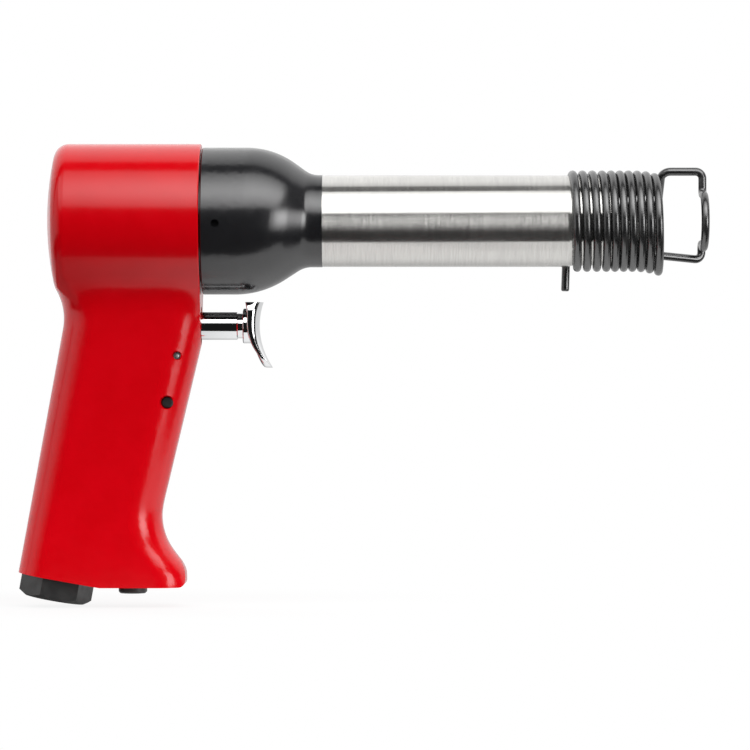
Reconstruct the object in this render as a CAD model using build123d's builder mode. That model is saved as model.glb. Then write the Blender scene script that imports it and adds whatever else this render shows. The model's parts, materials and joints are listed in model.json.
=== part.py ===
from build123d import *

import math
import os

# A pneumatic rivet hammer with a pistol grip, a push trigger and a wire retainer spring.
# X runs along the barrel towards the work, Y across it and Z up. The origin is the centre of the
# muzzle face, where the rivet set goes in. Lengths are in millimetres and angles in degrees.

# Clearances, all on the radius
fit_clearance = 0.05
slide_clearance = 0.05
thread_clearance = 0.1
ring_clearance = 0.03

# Barrel
barrel_radius = 15.875
barrel_exposed = 85.0
nose_radius = 15.4
nose_length = 15.0
shoulder_length = 2.0
muzzle_chamfer = 0.8
set_bore_radius = 5.13
set_bore_length = 32.0
piston_bore_radius = 7.2
barrel_stub_radius = 13.5
barrel_port_radius = 1.8
barrel_port_count = 4

# Front housing
housing_radius = 25.5
housing_length = 41.55
neck_step = 0.15
neck_length = 5.0
cone_length = 13.9
cone_crest_radius = 30.0
cone_root_radius = 8.0
cone_fillet_share = 0.9
cone_slant = 0.075
spigot_step = 4.6
spigot_length = 16.4
exhaust_gap = 0.45
exhaust_hole_radius = 1.1
exhaust_hole_count = 8
chamber_wall = 3.0
chamber_inset = 6.5
chamber_taper = 10.0
chamber_depth = 2.5
spanner_hole_radius = 1.4
spanner_hole_depth = 2.2
spanner_hole_inset = 5.2
spanner_turn = 4.0
housing_edge_chamfer = 0.35
housing_ring_inset = 3.0
housing_ring_wire = 0.8

# Head
head_radius = 26.75
head_end_wall = 11.45
head_dome = 3.4
head_edge_radius = 5.0
head_mouth_chamfer = 0.8
head_rim_chamfer = 0.3
valve_chamber_step = 1.95

# Grip
grip_width = 26.8
grip_tilt = 10.2
grip_front_tilt = 13.4
grip_depth = 49.0
knee_below_head = 16.25
waist_rise = 20.45
waist_radius = 20.0
flare_angle = 35.0
toe_rise = 6.5
toe_crown_radius = 8.0
toe_radius = 2.2
base_below_head = 100.0
heel_length = 29.0
front_edge_share = 0.45
toe_edge_share = 0.475
back_edge_share = 0.45
heel_edge_share = 0.355
neck_radius = 20.0
grip_top_share = 0.5
waist_sections = 4
level_step = 8.0

# Valve case
valve_body_length = 15.5
valve_cap_length = 9.5
gasket_thickness = 0.8
gasket_hole_radius = 10.0
shuttle_radius = 11.0
shuttle_length = 9.5
shuttle_travel = 3.0
shuttle_end_gap = 0.25
shuttle_cap_depth = 4.5
shuttle_hole_radius = 3.0
nozzle_radius = 5.0
gallery_radius = 2.6
gallery_offset = 3.2
dowel_radius = 1.5
dowel_engagement = 5.0

# Piston
piston_length = 48.0
piston_gap = 0.5
piston_nose_chamfer = 1.2

# Trigger
trigger_below_head = 9.55
trigger_travel = 5.0
stem_radius = 4.9
stem_exposed = 12.7
stem_chamfer = 0.3
stem_neck_step = 0.5
stem_neck_length = 1.7
stem_cone_length = 7.0
stem_cone_lead = 1.4
stem_pilot_radius = 1.6
stem_pilot_engagement = 4.0
stem_pilot_gap = 1.0
stem_tenon_radius = 2.6
stem_tenon_length = 3.6
bush_wall = 0.24
bush_length = 6.6
bush_recess = 0.3
bush_seal_inset = 2.2
seal_wire_radius = 0.7
throttle_chamber_room = 1.0
throttle_end_wall = 0.8
pad_width = 14.0
pad_height_up = 8.1
pad_height_down = 14.6
pad_boss_drop = 6.2
pad_depth = 5.85
pad_hollow_radius = 25.0
pad_tongue = 2.7
pad_crown_radius = 13.0
pad_top_bevel = 2.8
pad_top_setback = 0.9
pad_tip_round = 1.1
pad_corner_round = 4.5
pad_back_round = 2.4

# Throttle valve in its bore up the front of the grip
upper_pin_radius = 1.25
upper_pin_inset = 7.9
lower_pin_radius = 2.07
lower_pin_forward = 2.76
pin_recess = 1.0
pin_wall = 0.55
pin_slot = 0.5
pin_mouth = 0.35
pin_chamfer = 0.45
riser_radius = 4.2
seat_setback = 1.4
seat_above_pin = 3.2
seat_below_pin = 3.6
seat_bore_radius = 2.4
seat_pin_wall = 0.12
valve_tip_radius = 1.5
valve_tip_gap = 0.05
valve_flat = 1.45
valve_flat_count = 3
valve_air_gap = 0.5
valve_head_length = 1.9
valve_boss_radius = 1.7
valve_boss_length = 1.4
washer_length = 1.0
washer_gap = 0.02
spring_wire_radius = 0.3
spring_edge_inset = 0.7
spring_length = 6.22
spring_turns = 3.5
spring_end_gap = 0.05
plug_half_length = 3.6
plug_air_radius = 1.0
plug_air_offset = 2.4
plug_air_angles = (110, 180, 250)

# Regulator
regulator_radius = 4.95
regulator_setback = 23.8
regulator_proud = 2.4
regulator_chamfer = 0.6
regulator_slot_width = 1.4
regulator_slot_depth = 1.0
regulator_length = 27.0
regulator_top_gap = 1.0
regulator_window_radius = 3.0
regulator_top_wall = 2.6
regulator_hollow_radius = 3.2
regulator_ring_rise = 3.4
regulator_groove_radius = 3.9
regulator_groove_rise = 8.3
regulator_pin_radius = 1.2
regulator_pin_depth = 19.4

# Air inlet
inlet_inset = 13.6
hex_across_flats = 22.0
hex_height = 7.4
hex_bevel = 1.6
hex_end_radius = 10.3
hex_turn = -10.0
inlet_thread_radius = 8.2
inlet_thread_length = 11.5
inlet_bore_radius = 5.72
inlet_seal_thickness = 1.0
screen_flange_thickness = 0.8
screen_radius = 5.2
screen_wall = 0.5
screen_length = 10.0
screen_hole_radius = 0.6
screen_rows = 3
screen_holes_per_row = 8
inlet_duct_radius = 5.55
inlet_duct_length = 26.0

# Retainer spring
wire_radius = 1.29
coil_stand = 0.8
coil_inset = 0.95
nose_turns = 3.5
nose_gap = 0.83
free_turns = 6.5
free_gap = 0.43
coil_end_angle = 45.0
coil_droop = 1.7
droop_turns = 3.2
tail_length = 24.0
bail_reach = 14.5
bail_rise = 1.2
bail_bend_radius = 3.2
bail_fold_radius = 2.4
loop_radius = 9.2
loop_end_angle = 300.0
hook_radius = 2.0
leg_straight = 1.1
leg_length = 17.6
leg_end_inset = 4.5

# Places along the barrel axis, worked out from the muzzle backwards
x_shoulder = -(nose_length + shoulder_length)
x_seam = x_shoulder - barrel_exposed
x_housing_back = x_seam - housing_length
x_head_front = x_housing_back - exhaust_gap
x_spigot_end = x_housing_back - spigot_length
x_valve_joint = x_spigot_end - valve_body_length
x_cap_back = x_valve_joint - valve_cap_length
x_floor = x_cap_back - gasket_thickness
x_head_back = x_floor - head_end_wall
x_cone_end = x_seam - neck_length
x_cone_start = x_cone_end - cone_length
x_chamber_back = x_housing_back + chamber_inset
x_piston_back = x_spigot_end + piston_gap
x_gallery = x_valve_joint + gallery_offset
x_housing_ring = x_spigot_end + housing_ring_inset
spigot_radius = housing_radius - spigot_step
thread_bore = spigot_radius + fit_clearance
valve_chamber_radius = thread_bore - valve_chamber_step

# Places on the grip, worked out from the underside of the head
half_width = grip_width / 2
trigger_drop = head_radius + trigger_below_head
knee_drop = head_radius + knee_below_head
base_drop = head_radius + base_below_head
x_pad_back = x_head_front + stem_exposed + stem_neck_length
x_upper_pin = x_head_front - upper_pin_inset
x_regulator = x_head_front - regulator_setback
x_bush_front = x_head_front - bush_recess
x_bush_back = x_bush_front - bush_length
x_throttle_end = x_gallery - gallery_radius - throttle_end_wall
x_pilot_end = x_throttle_end - stem_pilot_engagement
seal_inner = stem_radius + ring_clearance
seal_outer = seal_inner + 2 * seal_wire_radius
bush_radius = seal_outer + ring_clearance + bush_wall
throttle_chamber_radius = stem_radius + throttle_chamber_room
upper_pin_drop = trigger_drop + throttle_chamber_radius + seat_setback + seat_above_pin
regulator_window_rise = regulator_length - regulator_top_wall - regulator_window_radius
valve_head_radius = riser_radius - valve_air_gap
spring_coil_radius = valve_head_radius - spring_edge_inset - spring_wire_radius
grip_slope = math.tan(math.radians(grip_tilt))
front_slope = math.tan(math.radians(grip_front_tilt))
flare_slope = math.tan(math.radians(flare_angle))


def turn(*points, level=0.0, mode=Mode.ADD):
    """Revolve an outline of (x, radius) points about a line along X at the given height."""
    with BuildSketch(Plane.XZ) as outline:
        with BuildLine():
            Polyline(*[(x, level + radius) for x, radius in points], close=True)
        make_face()
    revolve(outline.sketch, axis=Axis((0, 0, level), (1, 0, 0)), mode=mode)


def post(plane, radius, start, end, mode=Mode.ADD):
    """Add or cut a round post along the plane's normal, between two heights over the plane."""
    with BuildSketch(plane.offset(start)) as section:
        Circle(radius)
    extrude(section.sketch, amount=end - start, mode=mode)


def rod(start, end, radius, mode=Mode.ADD):
    """Add or cut a round rod between two points."""
    run = Vector(*end) - Vector(*start)
    post(Plane(origin=start, z_dir=run), radius, 0, run.length, mode)


def biarc(start, start_direction, end, end_direction):
    """Draw two arcs that leave start and reach end in the given directions and meet smoothly."""
    chord = end - start
    directions = start_direction + end_direction
    spread = 2 * (1 - start_direction.dot(end_direction))
    lean = chord.dot(directions)
    reach = (math.sqrt(lean**2 + spread * chord.dot(chord)) - lean) / spread
    first_corner = start + start_direction * reach
    second_corner = end - end_direction * reach
    joint = (first_corner + second_corner) * 0.5
    TangentArc(start, joint, tangent=start_direction)
    TangentArc(joint, end, tangent=second_corner - first_corner)


def least_gap(route, radius, step=0.5):
    """Least clear distance between a wire and itself, measured on points along its route."""
    count = int(route.length / step)
    points = [tuple(route @ (i / count)) for i in range(count + 1)]
    near = int(2.5 * math.pi * radius / step)
    return min(
        math.dist(here, there) - 2 * radius
        for i, here in enumerate(points)
        for there in points[i + near :]
    )


# Retainer spring: the route of its wire
coil_radius = nose_radius + coil_stand
nose_pitch = 2 * wire_radius + nose_gap
free_pitch = 2 * wire_radius + free_gap
x_coil_start = x_shoulder + coil_inset
coil_end_turn = nose_turns + free_turns + coil_end_angle / 360
first_joint = coil_end_angle / 2 / 360


def droop_share(turns):
    """How far along its drooping last turns the retainer's wire is, from 0 to 1."""
    return max(turns - coil_end_turn + droop_turns, 0) / droop_turns


def coil_place(turns):
    """Centre of the retainer's wire after so many turns from its rear end."""
    advance = nose_pitch * min(turns, nose_turns) + free_pitch * max(turns - nose_turns, 0)
    droop = coil_droop * droop_share(turns) ** 2
    angle = math.radians(360 * turns)
    return Vector(
        x_coil_start + advance, coil_radius * math.cos(angle), coil_radius * math.sin(angle) - droop
    )


def coil_direction(turns):
    """Direction of the retainer's wire after so many turns."""
    pitch = nose_pitch if turns < nose_turns else free_pitch
    if turns == nose_turns:
        pitch = (nose_pitch + free_pitch) / 2
    angle = math.radians(360 * turns)
    circle = 2 * math.pi * coil_radius
    sink = 2 * coil_droop * droop_share(turns) / droop_turns
    return Vector(pitch, -circle * math.sin(angle), circle * math.cos(angle) - sink).normalized()


def coil(end_turn):
    """Draw the retainer's coil, in quarter turns after a short first arc."""
    quarters = math.ceil(4 * (end_turn - first_joint))
    joints = [0, *[first_joint + i / 4 for i in range(quarters)], end_turn]
    for first, second in zip(joints, joints[1:]):
        biarc(coil_place(first), coil_direction(first), coil_place(second), coil_direction(second))


coil_start = coil_place(0)
tail_end = coil_start - coil_direction(0) * tail_length
coil_end = coil_place(coil_end_turn)
coil_end_direction = coil_direction(coil_end_turn)
bail_top = coil_radius + bail_rise
bail_corner = coil_end + coil_end_direction * ((bail_top - coil_end.Z) / coil_end_direction.Z)
x_loop = coil_end.X + bail_reach
loop_end = math.radians(loop_end_angle)
loop_end_point = Vector(x_loop, loop_radius * math.cos(loop_end), loop_radius * math.sin(loop_end))
loop_end_direction = Vector(0, -math.sin(loop_end), math.cos(loop_end))
hook_centre = loop_end_point + Vector(0, math.cos(loop_end), math.sin(loop_end)) * hook_radius
hook_end = hook_centre + Vector(0, hook_radius, 0)
leg_drop = bail_fold_radius + leg_straight - hook_end.Z
leg_end_drop = coil_radius - leg_end_inset

with BuildLine() as retainer_route:
    Line(tail_end, coil_start)
    coil(coil_end_turn)
    FilletPolyline(
        coil_end,
        bail_corner,
        (x_loop, bail_corner.Y, bail_top),
        (x_loop, bail_corner.Y, loop_radius),
        (x_loop, 0, loop_radius),
        radius=[bail_bend_radius, bail_fold_radius, bail_fold_radius],
    )
    TangentArc((x_loop, 0, loop_radius), (x_loop, -loop_radius, 0), tangent=(0, -1, 0))
    TangentArc((x_loop, -loop_radius, 0), loop_end_point, tangent=(0, 0, -1))
    TangentArc(loop_end_point, hook_end, tangent=loop_end_direction)
    FilletPolyline(
        hook_end,
        (x_loop, hook_end.Y, -leg_drop),
        (x_loop - leg_length, 0, -leg_end_drop),
        radius=bail_fold_radius,
    )

retainer_wire = retainer_route.wires()[0]
print("retainer spring, least gap to itself:", round(least_gap(retainer_wire, wire_radius), 3))

with BuildPart() as retainer_spring:
    with BuildSketch(Plane(origin=tail_end, z_dir=coil_direction(0))):
        Circle(wire_radius)
    sweep(path=retainer_wire)

# Barrel, with the knuckle groove that the retainer screws into
groove_turns = math.ceil(4 * (wire_radius - x_coil_start) / nose_pitch + 1) / 4

with BuildLine() as groove_route:
    Line(tail_end, coil_start)
    coil(groove_turns)

x_ports = (x_chamber_back + x_cone_start) / 2

with BuildPart() as barrel:
    turn(
        (x_spigot_end, 0),
        (x_spigot_end, barrel_stub_radius),
        (x_seam, barrel_stub_radius),
        (x_seam, barrel_radius),
        (x_shoulder, barrel_radius),
        (-nose_length, nose_radius),
        (-muzzle_chamfer, nose_radius),
        (0, nose_radius - muzzle_chamfer),
        (0, 0),
    )
    turn(
        (x_spigot_end, 0),
        (x_spigot_end, piston_bore_radius),
        (-set_bore_length - (piston_bore_radius - set_bore_radius), piston_bore_radius),
        (-set_bore_length, set_bore_radius),
        (0, set_bore_radius),
        (0, 0),
        mode=Mode.SUBTRACT,
    )
    with BuildSketch(Plane(origin=tail_end, z_dir=coil_direction(0))):
        Circle(wire_radius + thread_clearance)
    sweep(path=groove_route.wires()[0], mode=Mode.SUBTRACT)
    for i in range(barrel_port_count):
        angle = math.radians(360 * (i + 0.5) / barrel_port_count)
        port_end = (
            x_ports,
            barrel_radius * math.cos(angle),
            barrel_radius * math.sin(angle),
        )
        rod((x_ports, 0, 0), port_end, barrel_port_radius, mode=Mode.SUBTRACT)

# Front housing: a turned shell whose cone leans forward at the top
neck_outer = barrel_radius + neck_step
stub_bore = barrel_stub_radius + fit_clearance
slant_room = 2 * cone_slant * housing_radius
cone_turn = math.atan2(housing_radius - neck_outer, cone_length)
cone_side = math.hypot(housing_radius - neck_outer, cone_length)
crest_room = cone_side / math.tan(cone_turn / 2) - cone_root_radius
crest_radius = min(cone_crest_radius, cone_fillet_share * crest_room)
ring_groove_radius = spigot_radius - 2 * housing_ring_wire - ring_clearance
ring_groove_half = housing_ring_wire + ring_clearance
dowel_offset = (stub_bore + ring_groove_radius) / 2

with BuildPart() as housing_blank:
    with BuildSketch(Plane.XZ) as housing_outline:
        with BuildLine():
            Polyline(
                (x_housing_back - slant_room, 0),
                (x_housing_back - slant_room, housing_radius),
                (x_cone_start, housing_radius),
                (x_cone_end, neck_outer),
                (x_seam + slant_room, neck_outer),
                (x_seam + slant_room, 0),
                close=True,
            )
        make_face()
        crest = housing_outline.vertices().sort_by_distance((x_cone_start, housing_radius))[0]
        fillet(crest, crest_radius)
        root = housing_outline.vertices().sort_by_distance((x_cone_end, neck_outer))[0]
        fillet(root, cone_root_radius)
    revolve(axis=Axis.X)

lean = Matrix([[1, 0, cone_slant, 0], [0, 1, 0, 0], [0, 0, 1, 0], [0, 0, 0, 1]])
leaning_blank = housing_blank.part.transform_geometry(lean)

with BuildPart() as front_housing:
    add(leaning_blank)
    split(bisect_by=Plane(origin=(x_seam, 0, 0), z_dir=(1, 0, 0)), keep=Keep.BOTTOM)
    split(bisect_by=Plane(origin=(x_housing_back, 0, 0), z_dir=(-1, 0, 0)), keep=Keep.BOTTOM)
    chamfer(front_housing.edges().group_by(Axis.X)[0], housing_edge_chamfer)
    turn(
        (x_spigot_end, 0),
        (x_spigot_end, spigot_radius),
        (x_housing_back, spigot_radius),
        (x_housing_back, 0),
    )
    turn(
        (x_spigot_end, 0),
        (x_spigot_end, stub_bore),
        (x_chamber_back, stub_bore),
        (x_chamber_back, housing_radius - chamber_wall),
        (x_cone_start - chamber_taper, housing_radius - chamber_wall),
        (x_cone_start, stub_bore + chamber_depth),
        (x_cone_start, stub_bore),
        (x_seam, stub_bore),
        (x_seam, 0),
        mode=Mode.SUBTRACT,
    )
    hole_ring = spigot_radius + exhaust_hole_radius + fit_clearance
    for i in range(exhaust_hole_count):
        angle = math.radians(360 * (i + 0.5) / exhaust_hole_count)
        y_hole = hole_ring * math.cos(angle)
        z_hole = hole_ring * math.sin(angle)
        rod(
            (x_housing_back, y_hole, z_hole),
            (x_chamber_back + exhaust_hole_radius, y_hole, z_hole),
            exhaust_hole_radius,
            mode=Mode.SUBTRACT,
        )
    x_spanner = x_housing_back + spanner_hole_inset
    for angle in (spanner_turn, spanner_turn + 180):
        y_way = math.cos(math.radians(angle))
        z_way = math.sin(math.radians(angle))
        floor = housing_radius - spanner_hole_depth
        outside = housing_radius + spanner_hole_depth
        rod(
            (x_spanner, floor * y_way, floor * z_way),
            (x_spanner, outside * y_way, outside * z_way),
            spanner_hole_radius,
            mode=Mode.SUBTRACT,
        )
    turn(
        (x_housing_ring - ring_groove_half, ring_groove_radius),
        (x_housing_ring - ring_groove_half, spigot_radius + housing_ring_wire),
        (x_housing_ring + ring_groove_half, spigot_radius + housing_ring_wire),
        (x_housing_ring + ring_groove_half, ring_groove_radius),
        mode=Mode.SUBTRACT,
    )
    rod(
        (x_spigot_end, 0, dowel_offset),
        (x_spigot_end + dowel_engagement, 0, dowel_offset),
        dowel_radius + fit_clearance,
        mode=Mode.SUBTRACT,
    )

# Handle: the drum head and the grip under it, cast in one piece
waist_drop = base_drop - waist_rise
x_waist = x_head_front - (waist_drop - knee_drop) * front_slope
waist_tangent = waist_radius * math.tan(math.radians((grip_front_tilt + flare_angle) / 2))
z_waist_top = -waist_drop + waist_tangent * math.cos(math.radians(grip_front_tilt))
z_waist_bottom = -waist_drop - waist_tangent * math.cos(math.radians(flare_angle))


def front_edge(z):
    """Front of the grip at a height: a straight slope, a round waist and a flare to the toe."""
    if z >= z_waist_top:
        return x_head_front + (z + knee_drop) * front_slope
    if z <= z_waist_bottom:
        return x_waist + (-waist_drop - z) * flare_slope
    tilt = math.radians(grip_front_tilt)
    centre_x = front_edge(z_waist_top) + waist_radius * math.cos(tilt)
    centre_z = z_waist_top - waist_radius * math.sin(tilt)
    return centre_x - math.sqrt(waist_radius**2 - (z - centre_z) ** 2)


def back_edge(z):
    """Back of the grip at a height: a straight slope."""
    return x_head_front - grip_depth + (z + knee_drop) * grip_slope


def edge_radius(z, upper, lower):
    """Round of the grip's upright edges at a height, from shares of its width at knee and base."""
    share = (-z - knee_drop) / (base_drop - knee_drop)
    return grip_width * (upper + (lower - upper) * min(max(share, 0), 1))


def side_face(x, z):
    """How far the grip's side is from the middle plane, less where its front edge is rounded."""
    radius = edge_radius(z, front_edge_share, toe_edge_share)
    inset = min(front_edge(z) - x, radius)
    return half_width - radius + math.sqrt(radius**2 - (radius - inset) ** 2)


def levels(*heights):
    """Heights from the first to the last, with even steps no longer than the grip's level step."""
    stations = [heights[0]]
    for upper, lower in zip(heights, heights[1:]):
        steps = max(math.ceil((upper - lower) / level_step), 1)
        stations += [upper + (lower - upper) * (i + 1) / steps for i in range(steps)]
    return stations


z_bottom = -base_drop - toe_radius
waist_span = z_waist_bottom - z_waist_top
waist_levels = [z_waist_top + waist_span * i / waist_sections for i in range(waist_sections + 1)]
grip_levels = levels(-head_radius * grip_top_share, *waist_levels, z_bottom)

x_heel_start = back_edge(-base_drop + heel_length * math.sin(math.radians(grip_tilt)))
x_heel_start += heel_length * math.cos(math.radians(grip_tilt))
x_behind = x_head_back - grip_depth
z_toe = -base_drop + toe_rise
x_toe = front_edge(z_toe)
toe_tangent = toe_crown_radius * math.tan(math.radians(flare_angle / 2))
toe_low = (x_toe - toe_radius, -base_drop)
toe_corner = (x_toe, -base_drop + toe_radius)
toe_side = (x_toe, z_toe - toe_tangent)
toe_high = (
    x_toe - toe_tangent * math.sin(math.radians(flare_angle)),
    z_toe + toe_tangent * math.cos(math.radians(flare_angle)),
)

# The throttle bore runs from the trigger down the front of the grip to the regulator
x_riser_at_pin = x_upper_pin - seat_bore_radius - upper_pin_radius - seat_pin_wall
riser_lean = math.atan((x_riser_at_pin - x_regulator) / (base_drop - upper_pin_drop))
x_riser_top = x_riser_at_pin + (upper_pin_drop - trigger_drop) * math.tan(riser_lean)
riser_down = Vector(-math.sin(riser_lean), 0, -math.cos(riser_lean))
riser_forward = Vector(math.cos(riser_lean), 0, -math.sin(riser_lean))
riser = Plane(origin=(x_riser_top, 0, -trigger_drop), x_dir=riser_forward, z_dir=riser_down)
upper_pin_place = Vector(x_upper_pin, 0, -upper_pin_drop)
upper_pin_along = (upper_pin_place - riser.origin).dot(riser_down)
seat_start = upper_pin_along - seat_above_pin
seat_end = upper_pin_along + seat_below_pin
washer_start = seat_end + washer_gap
head_start = washer_start + washer_length
head_end = head_start + valve_head_length
spring_start = head_end + spring_end_gap
plug_start = spring_start + spring_length + spring_end_gap
lower_pin_along = plug_start + plug_half_length
lower_pin_place = Vector(*riser.from_local_coords((lower_pin_forward, 0, lower_pin_along)))
riser_length = (base_drop - trigger_drop) / math.cos(riser_lean)
regulator_axis = Plane(origin=(x_regulator, 0, -base_drop), z_dir=(0, 0, 1))

# The inlet stands square to the slanted heel face
heel_forward = Vector(math.cos(math.radians(grip_tilt)), 0, -math.sin(math.radians(grip_tilt)))
heel_out = Vector(-math.sin(math.radians(grip_tilt)), 0, -math.cos(math.radians(grip_tilt)))
heel_corner = Vector(x_heel_start, 0, -base_drop) - heel_forward * heel_length
inlet = Plane(origin=heel_corner + heel_forward * inlet_inset, x_dir=heel_forward, z_dir=heel_out)
seal_depth = inlet_thread_length + inlet_seal_thickness
flange_depth = seal_depth + screen_flange_thickness
z_window = -base_drop + regulator_window_rise
x_duct_at_window = inlet.origin.X + (z_window - inlet.origin.Z) * grip_slope

with BuildPart() as handle:
    for z in grip_levels:
        with BuildSketch(Plane.XY.offset(z)) as grip_section:
            with Locations(((front_edge(z) + back_edge(z)) / 2, 0)):
                Rectangle(front_edge(z) - back_edge(z), grip_width)
            front_corners = grip_section.vertices().group_by(Axis.X)[-1]
            fillet(front_corners, edge_radius(z, front_edge_share, toe_edge_share))
            back_corners = grip_section.vertices().group_by(Axis.X)[0]
            fillet(back_corners, edge_radius(z, back_edge_share, heel_edge_share))
    loft()
    with BuildSketch(Plane.XZ):
        with BuildLine():
            Polyline(
                toe_high,
                (toe_high[0] + grip_depth, toe_high[1]),
                (toe_high[0] + grip_depth, -base_drop - grip_depth),
                (x_behind, -base_drop - grip_depth),
                (x_behind, -base_drop + (x_heel_start - x_behind) * grip_slope),
                (x_heel_start, -base_drop),
                toe_low,
            )
            TangentArc(toe_low, toe_corner, tangent=(1, 0))
            Line(toe_corner, toe_side)
            TangentArc(toe_side, toe_high, tangent=(0, 1))
        make_face()
    extrude(amount=grip_width, both=True, mode=Mode.SUBTRACT)
    with BuildSketch(Plane.XZ) as head_outline:
        dome_radius = (head_radius**2 + head_dome**2) / (2 * head_dome)
        half_drop = dome_radius - math.sqrt(dome_radius**2 - (head_radius / 2) ** 2)
        with BuildLine():
            ThreePointArc(
                (x_head_back, 0),
                (x_head_back + half_drop, head_radius / 2),
                (x_head_back + head_dome, head_radius),
            )
            Polyline(
                (x_head_back + head_dome, head_radius),
                (x_head_front, head_radius),
                (x_head_front, 0),
                (x_head_back, 0),
            )
        make_face()
        head_corner = head_outline.vertices().sort_by_distance((x_head_back, head_radius))[0]
        fillet(head_corner, head_edge_radius)
    revolve(axis=Axis.X)
    split(bisect_by=Plane(origin=(x_head_front, 0, 0), z_dir=(1, 0, 0)), keep=Keep.BOTTOM)
    # Round neck all the way along the line where the grip meets the head, then the rim's chamfer
    meeting_line = handle.edges().filter_by(GeomType.BSPLINE)
    fillet(meeting_line.filter_by_position(Axis.Z, -head_radius, 0), neck_radius)
    chamfer(handle.edges().filter_by(GeomType.CIRCLE).group_by(Axis.X)[-1], head_rim_chamfer)
    # Threaded mouth and valve chamber of the head
    turn(
        (x_head_front, 0),
        (x_head_front, thread_bore + head_mouth_chamfer),
        (x_head_front - head_mouth_chamfer, thread_bore),
        (x_spigot_end, thread_bore),
        (x_spigot_end, valve_chamber_radius),
        (x_floor, valve_chamber_radius),
        (x_floor, 0),
        mode=Mode.SUBTRACT,
    )
    # Trigger bore, throttle chamber and the hole for the stem's pilot
    turn(
        (x_head_front, 0),
        (x_head_front, bush_radius + fit_clearance),
        (x_bush_back, bush_radius + fit_clearance),
        (x_bush_back, throttle_chamber_radius),
        (x_throttle_end, throttle_chamber_radius),
        (x_throttle_end, 0),
        level=-trigger_drop,
        mode=Mode.SUBTRACT,
    )
    rod(
        (x_throttle_end + stem_pilot_radius, 0, -trigger_drop),
        (x_pilot_end - trigger_travel - stem_pilot_gap, 0, -trigger_drop),
        stem_pilot_radius + slide_clearance,
        mode=Mode.SUBTRACT,
    )
    # Gallery from the throttle chamber up to the valve chamber
    rod(
        (x_gallery, 0, -trigger_drop),
        (x_gallery, 0, -valve_chamber_radius + gallery_radius),
        gallery_radius,
        mode=Mode.SUBTRACT,
    )
    # Throttle bore, regulator bore, inlet port and the passage that joins them
    post(riser, riser_radius, 0, riser_length, mode=Mode.SUBTRACT)
    post(
        regulator_axis,
        regulator_radius + slide_clearance,
        -regulator_length,
        regulator_length + regulator_top_gap,
        mode=Mode.SUBTRACT,
    )
    post(
        inlet,
        inlet_thread_radius + fit_clearance,
        -flange_depth,
        inlet_thread_length,
        mode=Mode.SUBTRACT,
    )
    post(inlet, inlet_duct_radius, -inlet_duct_length, 0, mode=Mode.SUBTRACT)
    rod(
        (x_duct_at_window, 0, z_window),
        (x_regulator, 0, z_window),
        regulator_window_radius,
        mode=Mode.SUBTRACT,
    )
    # Cross holes for the two grip pins, a little wider at each mouth
    for place, radius in ((upper_pin_place, upper_pin_radius), (lower_pin_place, lower_pin_radius)):
        hole = radius + fit_clearance
        rod((place.X, -grip_width, place.Z), (place.X, grip_width, place.Z), hole, Mode.SUBTRACT)
        for side in (-1, 1):
            y_mouth = side * (side_face(place.X, place.Z) - pin_recess)
            mouth_end = (place.X, side * grip_width, place.Z)
            rod((place.X, y_mouth, place.Z), mouth_end, hole + pin_mouth, Mode.SUBTRACT)
    # Blind hole in the far side for the regulator's pin
    x_regulator_pin = x_regulator - regulator_groove_radius - regulator_pin_radius - thread_clearance
    z_regulator_pin = -base_drop + regulator_groove_rise
    regulator_pin_end = side_face(x_regulator_pin, z_regulator_pin) - pin_recess
    rod(
        (x_regulator_pin, regulator_pin_end - regulator_pin_depth, z_regulator_pin),
        (x_regulator_pin, grip_width, z_regulator_pin),
        regulator_pin_radius + fit_clearance,
        mode=Mode.SUBTRACT,
    )

# Cross pins of the grip
upper_pin_end = side_face(x_upper_pin, -upper_pin_drop) - pin_recess
lower_pin_end = side_face(lower_pin_place.X, lower_pin_place.Z) - pin_recess

with BuildPart() as throttle_pin:
    rod(
        (x_upper_pin, -upper_pin_end, -upper_pin_drop),
        (x_upper_pin, upper_pin_end, -upper_pin_drop),
        upper_pin_radius,
    )
    rod(
        (x_upper_pin, -grip_width, -upper_pin_drop),
        (x_upper_pin, grip_width, -upper_pin_drop),
        upper_pin_radius - pin_wall,
        mode=Mode.SUBTRACT,
    )
    with BuildSketch(Plane(origin=(x_upper_pin, 0, -upper_pin_drop), z_dir=(0, 1, 0))):
        with Locations((upper_pin_radius, 0)):
            Rectangle(2 * upper_pin_radius, pin_slot)
    extrude(amount=grip_width, both=True, mode=Mode.SUBTRACT)

with BuildPart() as spring_seat_pin:
    rod(
        (lower_pin_place.X, -lower_pin_end, lower_pin_place.Z),
        (lower_pin_place.X, lower_pin_end, lower_pin_place.Z),
        lower_pin_radius,
    )
    chamfer(spring_seat_pin.edges().filter_by(GeomType.CIRCLE), pin_chamfer)

with BuildPart() as regulator_pin:
    rod(
        (x_regulator_pin, regulator_pin_end - regulator_pin_depth, z_regulator_pin),
        (x_regulator_pin, regulator_pin_end, z_regulator_pin),
        regulator_pin_radius,
    )

# Trigger: stem with its cone and pilot, and the finger pad on its front end
x_cone_small = x_riser_top - stem_cone_lead
x_cone_large = x_cone_small + stem_cone_length
x_stem_front = x_head_front + stem_exposed

with BuildPart() as trigger_stem:
    turn(
        (x_pilot_end, 0),
        (x_pilot_end, stem_pilot_radius),
        (x_cone_small, stem_pilot_radius),
        (x_cone_large, stem_radius),
        (x_stem_front - stem_chamfer, stem_radius),
        (x_stem_front, stem_radius - stem_chamfer),
        (x_stem_front, stem_radius - stem_neck_step),
        (x_pad_back, stem_radius - stem_neck_step),
        (x_pad_back, stem_tenon_radius),
        (x_pad_back + stem_tenon_length, stem_tenon_radius),
        (x_pad_back + stem_tenon_length, 0),
        level=-trigger_drop,
    )

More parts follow.
